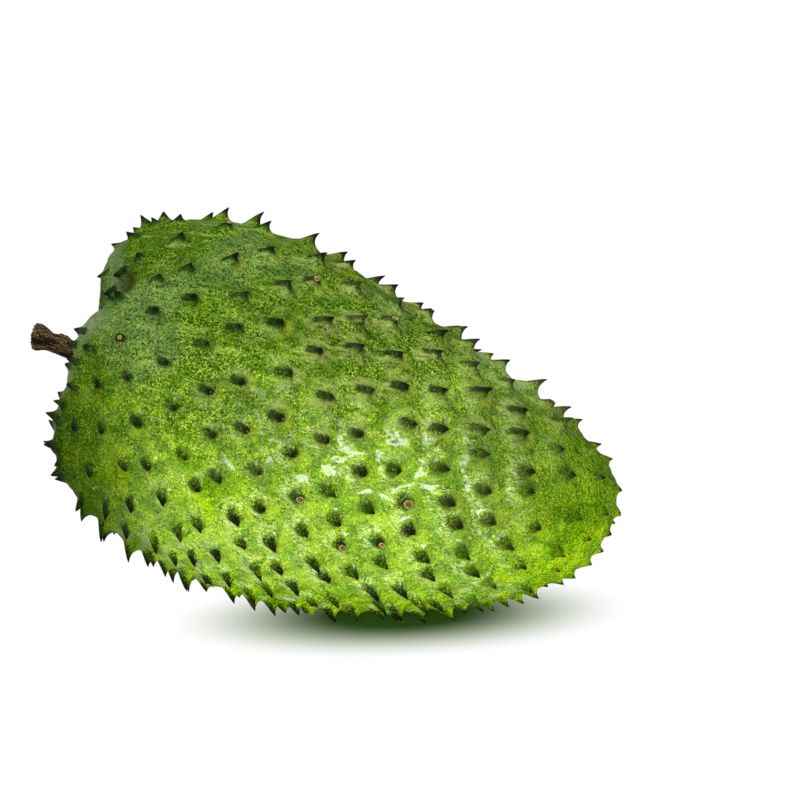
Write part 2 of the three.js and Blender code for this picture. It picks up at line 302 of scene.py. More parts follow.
along = along_of(site)
along_step, around_step, along_scale, around_scale, normal, to_blossom = skin_frame(site)
base = skin(site)
broken = (scatter(number, 3) > UNBROKEN_SHARE) & (number < SPINES)
lean = -1.1 + 2.1 * smooth(*TURN_OF_HOOKS, along)
height = SPINE_HEIGHT * (0.78 + 0.44 * scatter(number, 4)) * (0.80 + 0.36 * scatter(number, 9))
height = height * (SMALLEST + (1 - SMALLEST) * smooth(*FULL_HEIGHT, along))
height = height * (1 - 0.5 * smooth(*LOWER_AGAIN, along))
slim = (0.86 + 0.28 * scatter(number, 5)) * (1 - 0.25 * smooth(*THINNER_AGAIN, along))
slim = slim * (SMALLEST + (1 - SMALLEST) * smooth(*FULL_WIDTH, along))
for _ in range(20):
    tip = base + height[:, None] * (normal + SPINE_HOOK * lean[:, None] * to_blossom)
    too_low = (settle(tip)[:, 2] < CLEARANCE) & (height > 0.3)
    height = np.where(too_low, height * 0.85, height)
height = np.where(settle(base)[:, 2] > 1.0, height, 0.0)
print(int(broken.sum()), "spines broken, the tallest", round(float(height.max()), 1), "mm")

# %% [markdown]
# ## A net of points
#
# A thorn 6 mm high needs points every few tenths of a millimetre; the skin between needs them only every
# 2 mm. So rings of points are put round every spine and an even spread between, all on a unit sphere, and
# Delaunay triangulation joins them. It works in a plane, so the sphere is first opened out flat from the stem
# pole (stereographic projection keeps circles circles, so the triangles stay good). A fan closes the pole.

# %% Points on the unit sphere
RINGS = np.array([0.30, 0.65, 1.05, 1.5, 2.05, 2.75, 3.7, 5.0, 6.6])
ROUND = 16
RING_GAP, FIELD_GAP, POLE_GAP = 0.5, 0.7, 0.6
FIELD_POINTS, FIELD_START = 52000, 11.0


def offset(which, x, y):
    """Directions x mm along and y mm around from the given spines."""
    along_by = along_step[which] * (x / along_scale[which])[..., None]
    around_by = around_step[which] * (y / around_scale[which])[..., None]
    return unit(site[which] + along_by + around_by)


def to_nearest(p, count=2):
    """Distances to the nearest spines, in mm, and which they are."""
    far, near = [], []
    for part in np.array_split(p, max(1, len(p) // 4000)):
        gap = ((part[:, None, :] - base[None]) ** 2).sum(-1)
        order = np.argpartition(gap, count, axis=1)[:, :count]
        order = np.take_along_axis(order, np.argsort(np.take_along_axis(gap, order, 1), axis=1), 1)
        near.append(order)
        far.append(np.sqrt(np.take_along_axis(gap, order, 1)))
    return np.concatenate(far), np.concatenate(near)


net = [site, direction(np.array([180.0]), np.array([0.0]))]
which = np.repeat(np.arange(len(site)), ROUND)
for j, radius in enumerate(RINGS):
    turn = np.tile((np.arange(ROUND) + 0.5 * (j % 2)) * 2 * math.pi / ROUND, len(site)) + which * 0.7
    ring = offset(which, radius * np.cos(turn), radius * np.sin(turn))
    gaps, owner = to_nearest(skin(ring))
    net.append(ring[(owner[:, 0] == which) & (gaps[:, 1] - gaps[:, 0] > RING_GAP)])
between = spiral(FIELD_POINTS, FIELD_START, CROWDING)
gaps, owner = to_nearest(skin(between))
net.append(between[gaps[:, 0] > RINGS[-1] + FIELD_GAP])
net = np.concatenate(net)
net = net[along_of(net) > POLE_GAP]
print(len(net), "points in the net")

# %% Join them into triangles
flat = net[:, 1:] / (1 + net[:, :1])
_, _, triangles, origin, _, _ = delaunay_2d_cdt([Vector(p) for p in flat], [], [], 0, 1e-12, True)
source = [o[0] for o in origin]
triangles = np.array([[source[v] for v in t] for t in triangles])
edges = {}
for t in triangles:
    for u, v in ((t[0], t[1]), (t[1], t[2]), (t[2], t[0])):
        if (v, u) in edges:
            del edges[(v, u)]
        else:
            edges[(u, v)] = True
fan = [[v, u, len(net)] for u, v in edges]
net = np.concatenate([net, [[-1.0, 0.0, 0.0]]])
triangles = np.concatenate([triangles, fan])
corner = net[triangles]
facing = np.cross(corner[:, 1] - corner[:, 0], corner[:, 2] - corner[:, 0])
inward = (facing * corner[:, 0]).sum(-1) < 0
triangles[inward] = triangles[inward][:, ::-1]
print(len(triangles), "triangles, Euler number", len(net) - len(triangles) * 3 // 2 + len(triangles))

# %% [markdown]
# ## Two meshes for the nodes
#
# The smooth body carries the net; the spine sites are bare points. What the nodes need to know about a site
# (its outward direction, the way its hook leans, its sizes) travels with it as attributes.


# %% Mesh helpers
def new_mesh(name, points, faces=()):
    mesh = bpy.data.meshes.new(name)
    mesh.from_pydata([tuple(p) for p in points], [], [tuple(int(v) for v in f) for f in faces])
    mesh.update()
    piece = bpy.data.objects.new(name, mesh)
    bpy.context.scene.collection.objects.link(piece)
    return piece


def give(piece, name, values):
    values = np.asarray(values, dtype=np.float32)
    kind, key = ("FLOAT_VECTOR", "vector") if values.ndim == 2 else ("FLOAT", "value")
    piece.data.attributes.new(name, kind, "POINT").data.foreach_set(key, values.ravel())


gaps, owner = to_nearest(skin(net))
body = new_mesh("spiny_skin", settle(skin(net)) * MM, triangles)
give(body, "seam", gaps[:, 1] - gaps[:, 0])
give(body, "along", along_of(net))
give(body, "furrow", in_furrow(net, 1.1))
give(body, "lip", in_furrow(net, 0.9, 22.0))

sites = new_mesh("spine_sites", settle(base) * MM)
give(sites, "outward", normal @ turned.T)
give(sites, "hook_way", to_blossom @ turned.T)
give(sites, "tall", height / SPINE_HEIGHT)
give(sites, "lean", lean)
give(sites, "slim", slim)
give(sites, "whole", np.where(broken, 0.52 + 0.24 * scatter(number, 7), 2.0))
give(sites, "luck", scatter(number, 8))
print("body", len(body.data.polygons), "faces, sites", len(sites.data.vertices), "points")

# %% [markdown]
# ## Arithmetic on sockets
#
# Node trees are easier to read as formulas. `Socket` wraps one output and overloads the operators, so
# `1 - near * 2` adds its Math nodes. `Tree.node` adds any other node: its type, its settings, its inputs.


# %% Sockets that can be added and multiplied
class Socket:
    def __init__(self, tree, socket):
        self.tree, self.socket = tree, socket

    def is_vector(self):
        return self.socket.type in ("VECTOR", "RGBA")

    def __add__(self, other):
        return self.tree.maths("ADD", self, other)

    def __radd__(self, other):
        return self.tree.maths("ADD", other, self)

    def __sub__(self, other):
        return self.tree.maths("SUBTRACT", self, other)

    def __rsub__(self, other):
        return self.tree.maths("SUBTRACT", other, self)

    def __mul__(self, other):
        return self.tree.maths("MULTIPLY", self, other)

    def __rmul__(self, other):
        return self.tree.maths("MULTIPLY", other, self)

    def __truediv__(self, other):
        return self.tree.maths("DIVIDE", self, other)

    def __pow__(self, other):
        return self.tree.maths("POWER", self, other)


print("sockets can be added, subtracted, multiplied, divided and raised to a power")


# %% Trees that nodes are added to
def enabled(sockets, key):
    """The socket with a number, or the one in use with a name."""
    if isinstance(key, int):
        return sockets[key]
    return next(s for s in sockets if s.name == key and s.enabled)


class Tree:
    def __init__(self, tree):
        self.tree = tree

    def node(self, kind, settings=None, inputs=None, out=0):
        node = self.tree.nodes.new(kind)
        for key, value in (settings or {}).items():
            setattr(node, key, value)
        for key, value in (inputs or {}).items():
            target = enabled(node.inputs, key)
            if isinstance(value, Socket):
                self.tree.links.new(value.socket, target)
            else:
                target.default_value = value
        return None if out is None else Socket(self, enabled(node.outputs, out))

    def maths(self, operation, *values):
        """A Math node, or a Vector Math node where a value is a vector or a colour."""
        vectors = [isinstance(v, tuple) or isinstance(v, Socket) and v.is_vector() for v in values]
        if operation == "MULTIPLY" and vectors == [True, False]:
            vector, scale = values
            return self.vector_maths("SCALE", {"Vector": vector, "Scale": scale})
        if any(vectors):
            return self.vector_maths(operation, dict(enumerate(values)))
        return self.node("ShaderNodeMath", {"operation": operation}, dict(enumerate(values)))

    def vector_maths(self, operation, inputs, out=0):
        return self.node("ShaderNodeVectorMath", {"operation": operation}, inputs, out)

    def dot(self, one, other):
        return self.vector_maths("DOT_PRODUCT", {0: one, 1: other}, "Value")

    def length(self, vector):
        return self.vector_maths("LENGTH", {0: vector}, "Value")

    def part(self, vector, axis):
        """X, Y or Z of a vector."""
        return self.node("ShaderNodeSeparateXYZ", {}, {0: vector}, axis)

    def smaller(self, one, other):
        return self.maths("MINIMUM", one, other)

    def larger(self, one, other):
        return self.maths("MAXIMUM", one, other)

    def ridge(self, value):
        """1 where the value is a half, falling to both sides."""
        return 1 - self.maths("ABSOLUTE", value * 2 - 1)

    def ramp(self, value, start, end):
        """A smooth step: 0 at the start, 1 at the end, whichever of the two is larger."""
        settings = {"interpolation_type": "SMOOTHSTEP"}
        return self.node("ShaderNodeMapRange", settings, {"Value": value, "From Min": start, "From Max": end})

    def blend(self, factor, one, other):
        """Mix of two colours, which are the Mix node's inputs 6 and 7 and its output 2."""
        return self.node("ShaderNodeMix", {"data_type": "RGBA"}, {"Factor": factor, 6: one, 7: other}, 2)

    def noise(self, place, scale, detail=2.0, roughness=0.5, settings=None, out=0, **more):
        inputs = {"Vector": place, "Scale": scale, "Detail": detail, "Roughness": roughness, **more}
        return self.node("ShaderNodeTexNoise", settings, inputs, out)

    def print_count(self, what):
        print(what, "has", len(self.tree.nodes), "nodes")


print("a tree has", ", ".join(name for name in vars(Tree) if not name.startswith("_")))

# %% [markdown]
# ## Pulling out the spines
#
# A real spine isn't stuck on: the skin between the spines is stretched from one to the next like canvas over
# tent poles. Instancing cones would leave seams, so this tree moves the net itself. Every point finds its
# nearest site and how far it is from that spine's axis, and is lifted: a wide tent, then a narrow thorn.
# Distances are squeezed on the side the spine leans to and stretched on the other, which gives a long ramp up
# to the hook and a hollow under it. The higher a point is lifted, the more it leans over. A broken spine is
# cut off level and a little hollow.

# %% The spine tree and its inputs
grow = bpy.data.node_groups.new("Grow spines", "GeometryNodeTree")
for name, kind, value in (
        ("Skin", "NodeSocketGeometry", None),
        ("Sites", "NodeSocketObject", None),
        ("Spine height", "NodeSocketFloat", SPINE_HEIGHT * MM),
        ("Hook", "NodeSocketFloat", SPINE_HOOK),
        ("Thorn radius", "NodeSocketFloat", THORN_RADIUS * MM),
        ("Tent radius", "NodeSocketFloat", TENT_RADIUS * MM),
        ("Thorn share", "NodeSocketFloat", THORN_SHARE),
        ("Pucker", "NodeSocketFloat", PUCKER_HEIGHT * MM),
        ("Seed", "NodeSocketFloat", 4.0),
        ("Finish", "NodeSocketMaterial", None)):
    slot = grow.interface.new_socket(name, in_out="INPUT", socket_type=kind)
    if value is not None:
        slot.default_value = value
grow.interface.new_socket("Skin", in_out="OUTPUT", socket_type="NodeSocketGeometry")
g = Tree(grow)
given = {s.name: Socket(g, s) for s in grow.nodes.new("NodeGroupInput").outputs if s.name}
print("spine tree takes", ", ".join(given))

# %% The nearest site of each point
place = g.node("GeometryNodeInputPosition")
site_points = g.node(
    "GeometryNodeObjectInfo", {"transform_space": "ORIGINAL"}, {"Object": given["Sites"]}, "Geometry")
nearest = g.node(
    "GeometryNodeSampleNearest", {"domain": "POINT"}, {"Geometry": site_points, "Sample Position": place})


def stored(name, kind="FLOAT"):
    return g.node("GeometryNodeInputNamedAttribute", {"data_type": kind}, {"Name": name}, "Attribute")


def of_site(value, kind="FLOAT"):
    """A value as the nearest site has it."""
    return g.node(
        "GeometryNodeSampleIndex", {"data_type": kind, "domain": "POINT"},
        {"Geometry": site_points, "Value": value, "Index": nearest})


stand = of_site(g.node("GeometryNodeInputPosition"), "FLOAT_VECTOR")
outward, hook_way = (of_site(stored(n, "FLOAT_VECTOR"), "FLOAT_VECTOR") for n in ("outward", "hook_way"))
tall, slim_by, bend, whole, luck = (of_site(stored(n)) for n in ("tall", "slim", "lean", "whole", "luck"))
g.print_count("spine tree")

# %% How far each point is from its spine
TURN_WIDTH, SQUEEZED, STRETCHED_BY = 1.2, 0.87, 0.25
TIP_ROUNDING = 0.4 * MM

away = place - stand
beside = away - outward * g.dot(away, outward)
forward = hook_way * g.node("ShaderNodeMath", {"operation": "SIGN"}, {0: bend})
ahead = g.dot(beside, forward)
stretch = g.ramp(ahead / MM, -TURN_WIDTH, TURN_WIDTH) * STRETCHED_BY + SQUEEZED
drawn = beside + forward * (ahead * (stretch - 1))
radius = (g.length(drawn) ** 2.0 + TIP_ROUNDING**2) ** 0.5 - TIP_ROUNDING / 2
g.print_count("spine tree")

# %% How far each point is lifted
THORN_CURVE, TENT_CURVE, HOOK_CURVE = 2.3, 1.8, 2.2
SEAM_WIDTH = 3.0
STUB_HOLLOW = 0.35

wrinkle = g.noise(place, 95.0, 3.0, 0.55, {"noise_dimensions": "4D"}, W=given["Seed"]) - 0.5
fine = g.noise(place, 240.0) - 0.5
thorn = g.larger(1 - radius / (given["Thorn radius"] * slim_by), 0.0) ** THORN_CURVE
tent = g.larger(1 - radius / given["Tent radius"], 0.0) ** TENT_CURVE
tent = tent * g.ramp(stored("seam"), 0.0, SEAM_WIDTH)
rise = thorn * given["Thorn share"] + tent * (1 - given["Thorn share"])
cut = g.smaller(rise, whole)
full_height = given["Spine height"] * tall
lift = full_height * (cut - g.larger(rise - whole, 0.0) * STUB_HOLLOW)
lift = lift + given["Pucker"] * (wrinkle + fine * 0.4) * (1 - thorn)
sideways = full_height * given["Hook"] * bend * cut**HOOK_CURVE
shift = outward * lift + hook_way * sideways
g.print_count("spine tree")


# %% Move the points and set the finish
def then(geometry, kind, settings=None, **inputs):
    """The next node that the growing skin goes through."""
    return g.node("GeometryNode" + kind, settings, {"Geometry": geometry, **inputs})


moved = given["Skin"]
kept_for_finish = {
    "thorn": rise, "from_spine": radius / MM, "ahead": ahead / MM, "luck": luck, "whole": whole,
    "stand_tall": tall}
for name, value in kept_for_finish.items():
    on_points = {"data_type": "FLOAT", "domain": "POINT"}
    moved = then(moved, "StoreNamedAttribute", on_points, Name=name, Value=value)
moved = then(moved, "SetPosition", Offset=shift)
# the belly is level where it presses on the table
pressed = {axis: g.part(g.node("GeometryNodeInputPosition"), axis) for axis in "XYZ"}
pressed["Z"] = g.larger(pressed["Z"], 0.0)
moved = then(moved, "SetPosition", Position=g.node("ShaderNodeCombineXYZ", {}, pressed))
moved = then(moved, "SetShadeSmooth")
moved = then(moved, "RealizeInstances")
moved = then(moved, "SetMaterial", Material=given["Finish"])
g.node("NodeGroupOutput", {}, {0: moved}, None)
g.print_count("spine tree")

# %% [markdown]
# ## Finishes
#
# A finish is one Principled shader. What changes over a piece feeds only its colour, roughness, normal and
# coat, and what doesn't change is set as a number. Colours are given as they look on a screen, because that
# is how a maker picks them, and are turned into the light they stand for.


# %% Finish helpers
def new_finish(name):
    material = bpy.data.materials.new(name)
    material.use_nodes = True
    material.node_tree.nodes.clear()
    return material, Tree(material.node_tree)


def known(tree, name, out="Fac"):
    """An attribute of the piece."""
    return tree.node("ShaderNodeAttribute", {"attribute_name": name}, {}, out)


def stretched(tree, place, scale):
    return tree.node("ShaderNodeMapping", {}, {"Vector": place, "Scale": scale})


def bumps(tree, height, strength, distance):
    inputs = {"Strength": strength, "Distance": distance, "Height": height}
    return tree.node("ShaderNodeBump", {}, inputs, "Normal")


def shade(tree, tint, roughness, normal, settings, coat=0.0):
    inputs = {"Base Color": tint, "Roughness": roughness, "Normal": normal, "Coat Weight": coat, **settings}
    shader = tree.node("ShaderNodeBsdfPrincipled", {}, inputs)
    tree.node("ShaderNodeOutputMaterial", {}, {"Surface": shader}, None)


def colour(red, green, blue):
    """A colour as seen on screen (0 to 255) to the light it stands for."""
    light = [((c / 255 + 0.055) / 1.055) ** 2.4 if c > 10 else c / 255 / 12.92 for c in (red, green, blue)]
    return (*light, 1.0)


def paint(tree, ground, *layers):
    """Lays each tint over what is there, as far as its mask says."""
    for mask, tint in layers:
        ground = tree.blend(mask, ground, tint)
    return ground


print("middle grey stands for", round(colour(128, 128, 128)[0], 3), "of white")

# %% [markdown]
# ## Skin finish
#
# Soursop skin is waxy and thin over soft pulp. Close up it is a fine grain of yellow-green oil glands on
# darker green, puckered between the spines so that a soft light breaks into small bright patches. It is
# yellower and brighter on the plump belly and a deeper, duller green with paler fibres over the shoulder,
# partly its own colour and partly painted light from the lamps in front. An image could hold all this, but
# noise of several sizes does it without seams: each is a mask, and paints one tint over the others. Some of
# the tints are painted light and shade: shade in the hollows of the puckers, in the furrow and over both
# ends, highlights on the tops of the puckers, glints on the folds by the spines, and a pale sheen, with
# bloom, on the rim of the stem's hollow and the lip of the furrow. The spines are dark at the back, the side
# their hooks lean away from, partly their own colour and partly painted shade, and dry from their tips.
# Broken ones show pale dry tissue.

# %% Places on the skin
# m is the tree of the finish that is being made, and the lengths from the spine tree are in millimetres
skin_finish, m = new_finish("soursop_skin")
here = m.node("ShaderNodeTexCoord", out="Object")
up, lengthwise = m.part(here, "Z"), m.part(here, "X")
thorn_up, from_spine, ahead, luck_of, whole_of, seam, stand_tall, from_stem, furrow, lip = (
    known(m, name) for name in (
        "thorn", "from_spine", "ahead", "luck", "whole", "seam", "stand_tall", "along", "furrow", "lip"))
m.print_count("skin finish")


# %% Patterns of the skin, from the widest to the finest
def grain(scale, detail=2.0, roughness=0.5, **more):
    """Noise in the skin: a scale of 100 gives swells about 10 mm wide."""
    return m.noise(here, scale, detail, roughness, **more)


def ragged(value, pattern, width):
    """The value, made uneven by a pattern, so that a ramp on it has no clean edge."""
    return value + (pattern - 0.5) * width


patches = grain(20.0, 3.0)
blotches = grain(75.0, 3.0)
clouds = grain(88.0, 3.0, Distortion=1.0)
pucker = grain(190.0, 3.0, 0.6)
specks = grain(1000.0, 3.0, 0.7)
fibres = m.noise(stretched(m, here, (1.0, 7.0, 7.0)), 42.0, 5.0, 0.65, Distortion=0.6)
folds = m.ridge(m.noise(stretched(m, here, (1.0, 2.2, 2.2)), 150.0, 4.0, 0.65, Distortion=1.6))

GLAND_SCALE, GLAND_STRAY = 1350.0, 1.2 * MM
crooked = m.noise(here, 800.0, out="Color") - (0.5, 0.5, 0.5)
gland_cells = {"Vector": here + crooked * GLAND_STRAY, "Scale": GLAND_SCALE, "Randomness": 1.0}
gland, gland_tint = (
    m.node("ShaderNodeTexVoronoi", {"feature": "F1"}, gland_cells, out) for out in ("Distance", "Color"))
gland_luck = m.node("ShaderNodeSeparateColor", {}, {0: gland_tint})
m.print_count("skin finish")

# %% The parts of the skin
belly = 1 - m.ramp(ragged(up, patches, 60 * MM), 50 * MM, 130 * MM)
shoulder = 1 - belly


def by_height(on_shoulder, on_belly):
    """One tint over the shoulder and another on the belly."""
    return m.blend(belly, on_shoulder, on_belly)


# painted shade over the end by the stem that looks away from the lamps, less of it on the lit top; the pale
# rim of the stem's hollow, partly bloom and partly painted sheen; and painted shade over the blossom end
lit_top = m.ramp(up, 80 * MM, 130 * MM) * 0.6
shady_end = m.ramp(ragged(lengthwise, patches, 40 * MM), -15 * MM, -85 * MM) * (1 - lit_top)
rim_begun = m.ramp(ragged(from_stem, grain(110.0), 12.0), 16.0, 22.0)
rim = rim_begun * m.ramp(ragged(from_stem, grain(60.0), 14.0), 34.0, 25.0)
blossom_end_shade = m.ramp(ragged(lengthwise, patches, 40 * MM), 70 * MM, 110 * MM)
blossom_end_shade = blossom_end_shade * m.ramp(ragged(up, blotches, 30 * MM), 35 * MM, 75 * MM)
m.print_count("skin finish")

# %% Greens and their grain, with painted light on the belly and on the puckers
grainy = m.ramp(specks, 0.47, 0.55) * (0.95 - m.ramp(lengthwise, -70 * MM, 0.0) * belly * 0.22)
clouded = m.ramp(clouds, 0.48, 0.66) * (0.55 - belly * 0.22)
green = paint(
    # the base green is yellower and brighter on the belly than over the shoulder: partly the skin's own
    # colour, partly painted light from the lamps in front
    m, by_height(colour(94, 136, 12), colour(134, 192, 0)),
    (m.ramp(blotches, 0.45, 0.70) * 0.6, by_height(colour(58, 104, 4), colour(98, 156, 0))),
    (grainy, by_height(colour(18, 48, 0), colour(56, 112, 0))),
    (m.ramp(fibres, 0.47, 0.36) * shoulder * 0.45, colour(46, 84, 8)),
    (m.ramp(fibres, 0.52, 0.66) * shoulder * 0.65, colour(140, 170, 80)),
    # painted shade in the hollows of the puckers and painted highlights on their tops
    (m.ramp(pucker, 0.50, 0.34) * (0.15 + belly * 0.08), colour(52, 100, 0)),
    (m.ramp(pucker, 0.50, 0.66) * belly * 0.26, colour(196, 226, 40)),
    (clouded, by_height(colour(52, 88, 8), colour(80, 140, 0))),
    (m.ramp(clouds, 0.50, 0.36) * belly * 0.50, colour(172, 212, 0)))
m.print_count("skin finish")

# %% Oil glands, bloom, the furrow's lip with painted sheen, and painted shade in the furrow
fewer_on_top = 1 - m.ramp(up, 105 * MM, 135 * MM) * 0.35
fewer_in_clouds = 0.45 + 0.55 * m.ramp(clouds, 0.60, 0.44)
dots = fewer_on_top * m.ramp(gland, 0.62, 0.30) * m.ramp(gland_luck, 0.1, 0.9) * fewer_in_clouds
bloom = m.ramp(grain(15.0), 0.52, 0.62) * shoulder * m.ramp(specks, 0.62, 0.42)
green = paint(
    m, green,
    (dots, by_height(colour(190, 218, 92), colour(226, 252, 58))),
    (bloom * 0.30, colour(138, 166, 120)),
    # the furrow's pale lip: partly bloom, partly painted sheen along the edge of the lobe
    (m.ramp(ragged(lip, specks, 1.2), 0.15, 0.9) * 0.75, colour(150, 168, 128)),
    # painted shade that darkens the hollow of the furrow
    (m.ramp(ragged(furrow, specks, 0.8), 0.15, 0.75) * 0.8, colour(48, 44, 18)))
m.print_count("skin finish")

# %% The two ends in painted shade, the rim with painted sheen, the seams and the hollows
seam_line = m.ramp(ragged(seam, grain(160.0), 2.4), 0.7, 0.0)
hollow = m.ramp(from_spine, 9.0, 3.5) * m.ramp(ragged(lengthwise, patches, 50 * MM), -30 * MM, 30 * MM)
green = paint(
    m, green,
    # painted shade over the end by the stem, with its oil glands dimmed in the shade
    (shady_end * 0.9, colour(24, 50, 0)),
    (shady_end * dots * 0.50, colour(120, 150, 58)),
    # the pale rim of the stem's hollow: partly bloom, partly painted sheen
    (rim * (0.35 + 0.3 * m.ramp(specks, 0.56, 0.44)), colour(120, 142, 92)),
    # painted shade over the upper blossom end, with its oil glands and specks dimmed in the shade
    (blossom_end_shade * 0.7, colour(76, 112, 6)),
    (blossom_end_shade * dots * 0.5, colour(172, 206, 92)),
    (blossom_end_shade * m.ramp(specks, 0.48, 0.56) * 0.45, colour(40, 72, 0)),
    (seam_line * belly * 0.30, colour(200, 200, 84)),
    (hollow * shoulder * m.ramp(fibres, 0.40, 0.60) * 0.8, colour(158, 172, 92)))
m.print_count("skin finish")

# %% Painted glints on the folds, and halos beside the spines
near = m.ramp(from_spine, 2.6, 4.2) * m.ramp(from_spine, 9.5, 5.5) * m.ramp(ahead, 1.5, -1.0)
# painted glints: near-white streaks on the folds of the belly, most of them round the backs of the spines
painted_glints = m.ramp(ragged(folds, specks, 0.16), 0.90, 0.985) * belly
painted_glints = painted_glints * m.ramp(ragged(lengthwise, patches, 60 * MM), -60 * MM, 0.0)
painted_glints = painted_glints * m.ramp(lengthwise, 120 * MM, 85 * MM)
halo = m.ramp(ahead, 1.5, 4.0) * m.ramp(from_spine, 8.0, 4.5)
halo = halo * m.ramp(luck_of, 0.45, 0.8) * m.ramp(lengthwise, -50 * MM, -20 * MM)
green = paint(
    m, green,
    # the painted glints on the folds by the spines
    (painted_glints * (near * m.ramp(luck_of, 0.1, 0.5) * 0.92 + 0.03), colour(228, 250, 158)),
    (halo * (0.34 - belly * 0.10), colour(176, 198, 26)))
m.print_count("skin finish")

# %% Dark backs of the spines
# partly the spines' own dark colour and partly painted shade round their bases: round on the belly, drawn out
# crosswise over the shoulder, and smaller on a small spine
cap = 0.45 + 0.55 * m.ramp(stand_tall, 0.40, 0.75)
speckled = (specks - 0.5) * 6.0 + (grain(260.0) - 0.5) * 3.0
round_cap = m.ramp(from_spine + m.larger(ahead, 0.0) * 1.2 + speckled, cap * 4.3, cap * 1.9)
long_reach = m.larger(from_spine**2.0 - ahead * ahead * 0.72, 0.0) ** 0.5 + speckled * 0.30
long_cap = m.ramp(long_reach, cap * 2.2, cap) * m.ramp(from_spine, 5.0, 3.0)
behind = round_cap * belly + long_cap * shoulder
dark = (0.82 + belly * 0.06 + luck_of * 0.14) * (1 - m.ramp(lengthwise, 55 * MM, 110 * MM) * belly * 0.35)
belly_dark = m.blend(luck_of, colour(14, 36, 8), colour(30, 38, 26))
# the dark backs: the spines' own colour with painted shade round their bases
green = paint(m, green, (behind * (dark - dots * 0.3), by_height(colour(24, 46, 18), belly_dark)))
m.print_count("skin finish")

# %% Dry tips and broken stubs
tip = m.ramp(thorn_up + (grain(420.0) - 0.5) * 0.12 + (luck_of - 0.5) * 0.2, 0.45, 0.85)
pale_point = m.ramp(thorn_up, 0.84, 0.94) * m.ramp(luck_of, 0.60, 0.75)
past_cut = thorn_up - whole_of
scab = m.ramp(ragged(past_cut, grain(700.0, 2.0, 0.6), 0.3), 0.05, 0.16)
green = paint(
    m, green,
    (tip * 0.9, colour(24, 26, 10)),
    (pale_point * 0.8, colour(156, 134, 70)),
    (m.ramp(past_cut, 0.0, 0.04), m.blend(scab, colour(204, 182, 112), colour(122, 100, 56))))
m.print_count("skin finish")

# %% Relief and wax
creases = m.ridge(grain(430.0))
gland_domes = 1 - m.ramp(gland, 0.0, 0.6)
relief = pucker * 1.5 + m.ridge(pucker) * 0.8 + creases * belly * 0.55 + gland_domes * 0.14
relief = relief + specks * 0.30 + fibres * shoulder * 1.6
waxy = m.ramp(grain(34.0), 0.30, 0.50) * belly * m.ramp(lengthwise, -75 * MM, -20 * MM)
waxy = waxy * m.ramp(lengthwise, 120 * MM, 80 * MM) * m.ramp(up, 12 * MM, 36 * MM)
shade(
    m, green, 0.46 - waxy * 0.22 + behind * 0.2, bumps(m, relief, 1.0, 3.2 * MM),
    {"Specular IOR Level": 0.06, "IOR": 1.1, "Coat Roughness": 0.15, "Coat IOR": 1.4},
    coat=waxy * 0.9 * (1 - behind))
m.print_count("skin finish")


# %% Run a tree and keep the plain mesh
def grown(piece, tree, values):
    modifier = piece.modifiers.new("grow", "NODES")
    modifier.node_group = tree
    for item in tree.interface.items_tree:
        if item.in_out == "INPUT" and item.name in values:
            modifier[item.identifier] = values[item.name]
    shaped = piece.evaluated_get(bpy.context.evaluated_depsgraph_get())
    mesh = bpy.data.meshes.new_from_object(shaped)
    mesh.name = piece.name
    piece.modifiers.remove(modifier)
    piece.data = mesh


grown(body, grow, {"Sites": sites, "Finish": skin_finish})
bpy.data.objects.remove(sites)
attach(body, "root")
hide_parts("fruit")
print("spiny skin:", len(body.data.polygons), "faces, materials", [s.name for s in body.data.materials])

# %% [markdown]
# ## The stem
#
# The stub of stem is woody: a thin fissured bark over hard wood, wider where it joins the fruit, with the
# scar of a shed bud on top and a slanting break at the far end, where the fibres tore. A swept circle would
# be too regular, so rings of points follow the same line as the solid's stem and each point is pushed in or
# out by ridges that run lengthwise and by fine noise.

# %% Where the stem goes
STEM_GAP, STEM_INSIDE = 0.5, 0.05
FULL_RISE = STEM_LENGTH * math.tan(STEM_RISE)

stem_root = settle(skin(direction(np.array([0.0]), np.array([0.0]))))[0]
stem_out = turned @ np.array([-1.0, 0, 0])
stem_up = turned @ np.array([0, 0, 1.0])
stem_side = np.array([0, 1.0, 0])


def stem_point(up_by, side_by, out_by):
    return stem_root + np.outer(up_by, stem_up) + np.outer(side_by, stem_side) + np.outer(out_by, stem_out)


def rough(x, y, z, scale=1.0):
    """Noise from -1 to 1 at each point."""
    places = zip(*(v.ravel() * scale for v in (x, y, z)))
    return np.array([noise.noise(Vector(p)) for p in places]).reshape(x.shape)


print("stem leaves the fruit at", (stem_root * MM).round(3))

# %% Bark that is ridged, cracked and scarred
STEM_RINGS, STEM_ROUND = 150, 72
BUD_AT = 0.6
BREAK_SLANT, BREAK_ROUGHNESS, BREAK_DEPTH = 0.12, 0.7, 1.5

t = np.linspace(-STEM_INSIDE, 1, STEM_RINGS)[:, None] + np.zeros((1, STEM_ROUND))
angle = np.zeros((STEM_RINGS, 1)) + np.linspace(0, 2 * math.pi, STEM_ROUND, endpoint=False)[None]
from_top = (angle + math.pi) % (2 * math.pi) - math.pi
east, north = np.cos(angle), np.sin(angle)
thick = STEM_RADIUS * (1 + FOOT_FLARE * np.exp(-((t / 0.12) ** 2)) + END_FLARE * smooth(0.76, 1, t))
thick = thick * (1 + 0.06 * np.cos(3 * angle + 2.2 * t) + 0.035 * np.cos(5 * angle + 1))
bud_scar = 1.9 * np.exp(-(((t - BUD_AT) / 0.085) ** 2) - from_top**2 / 0.42)
scar_pit = 1.0 * np.exp(-(((t - BUD_AT) / 0.03) ** 2) - from_top**2 / 0.05)
bark = rough(east * 3.2, north * 3.2, t * 3.0)
fissure = -np.maximum(0, 0.25 - np.abs(rough(east * 3.6, north * 3.6, t * 4.5 + 9))) * 1.5
threads = rough(east * 9, north * 9, t * 9.0)
thick = thick + bud_scar - scar_pit + 0.42 * bark + 0.55 * fissure + 0.13 * threads
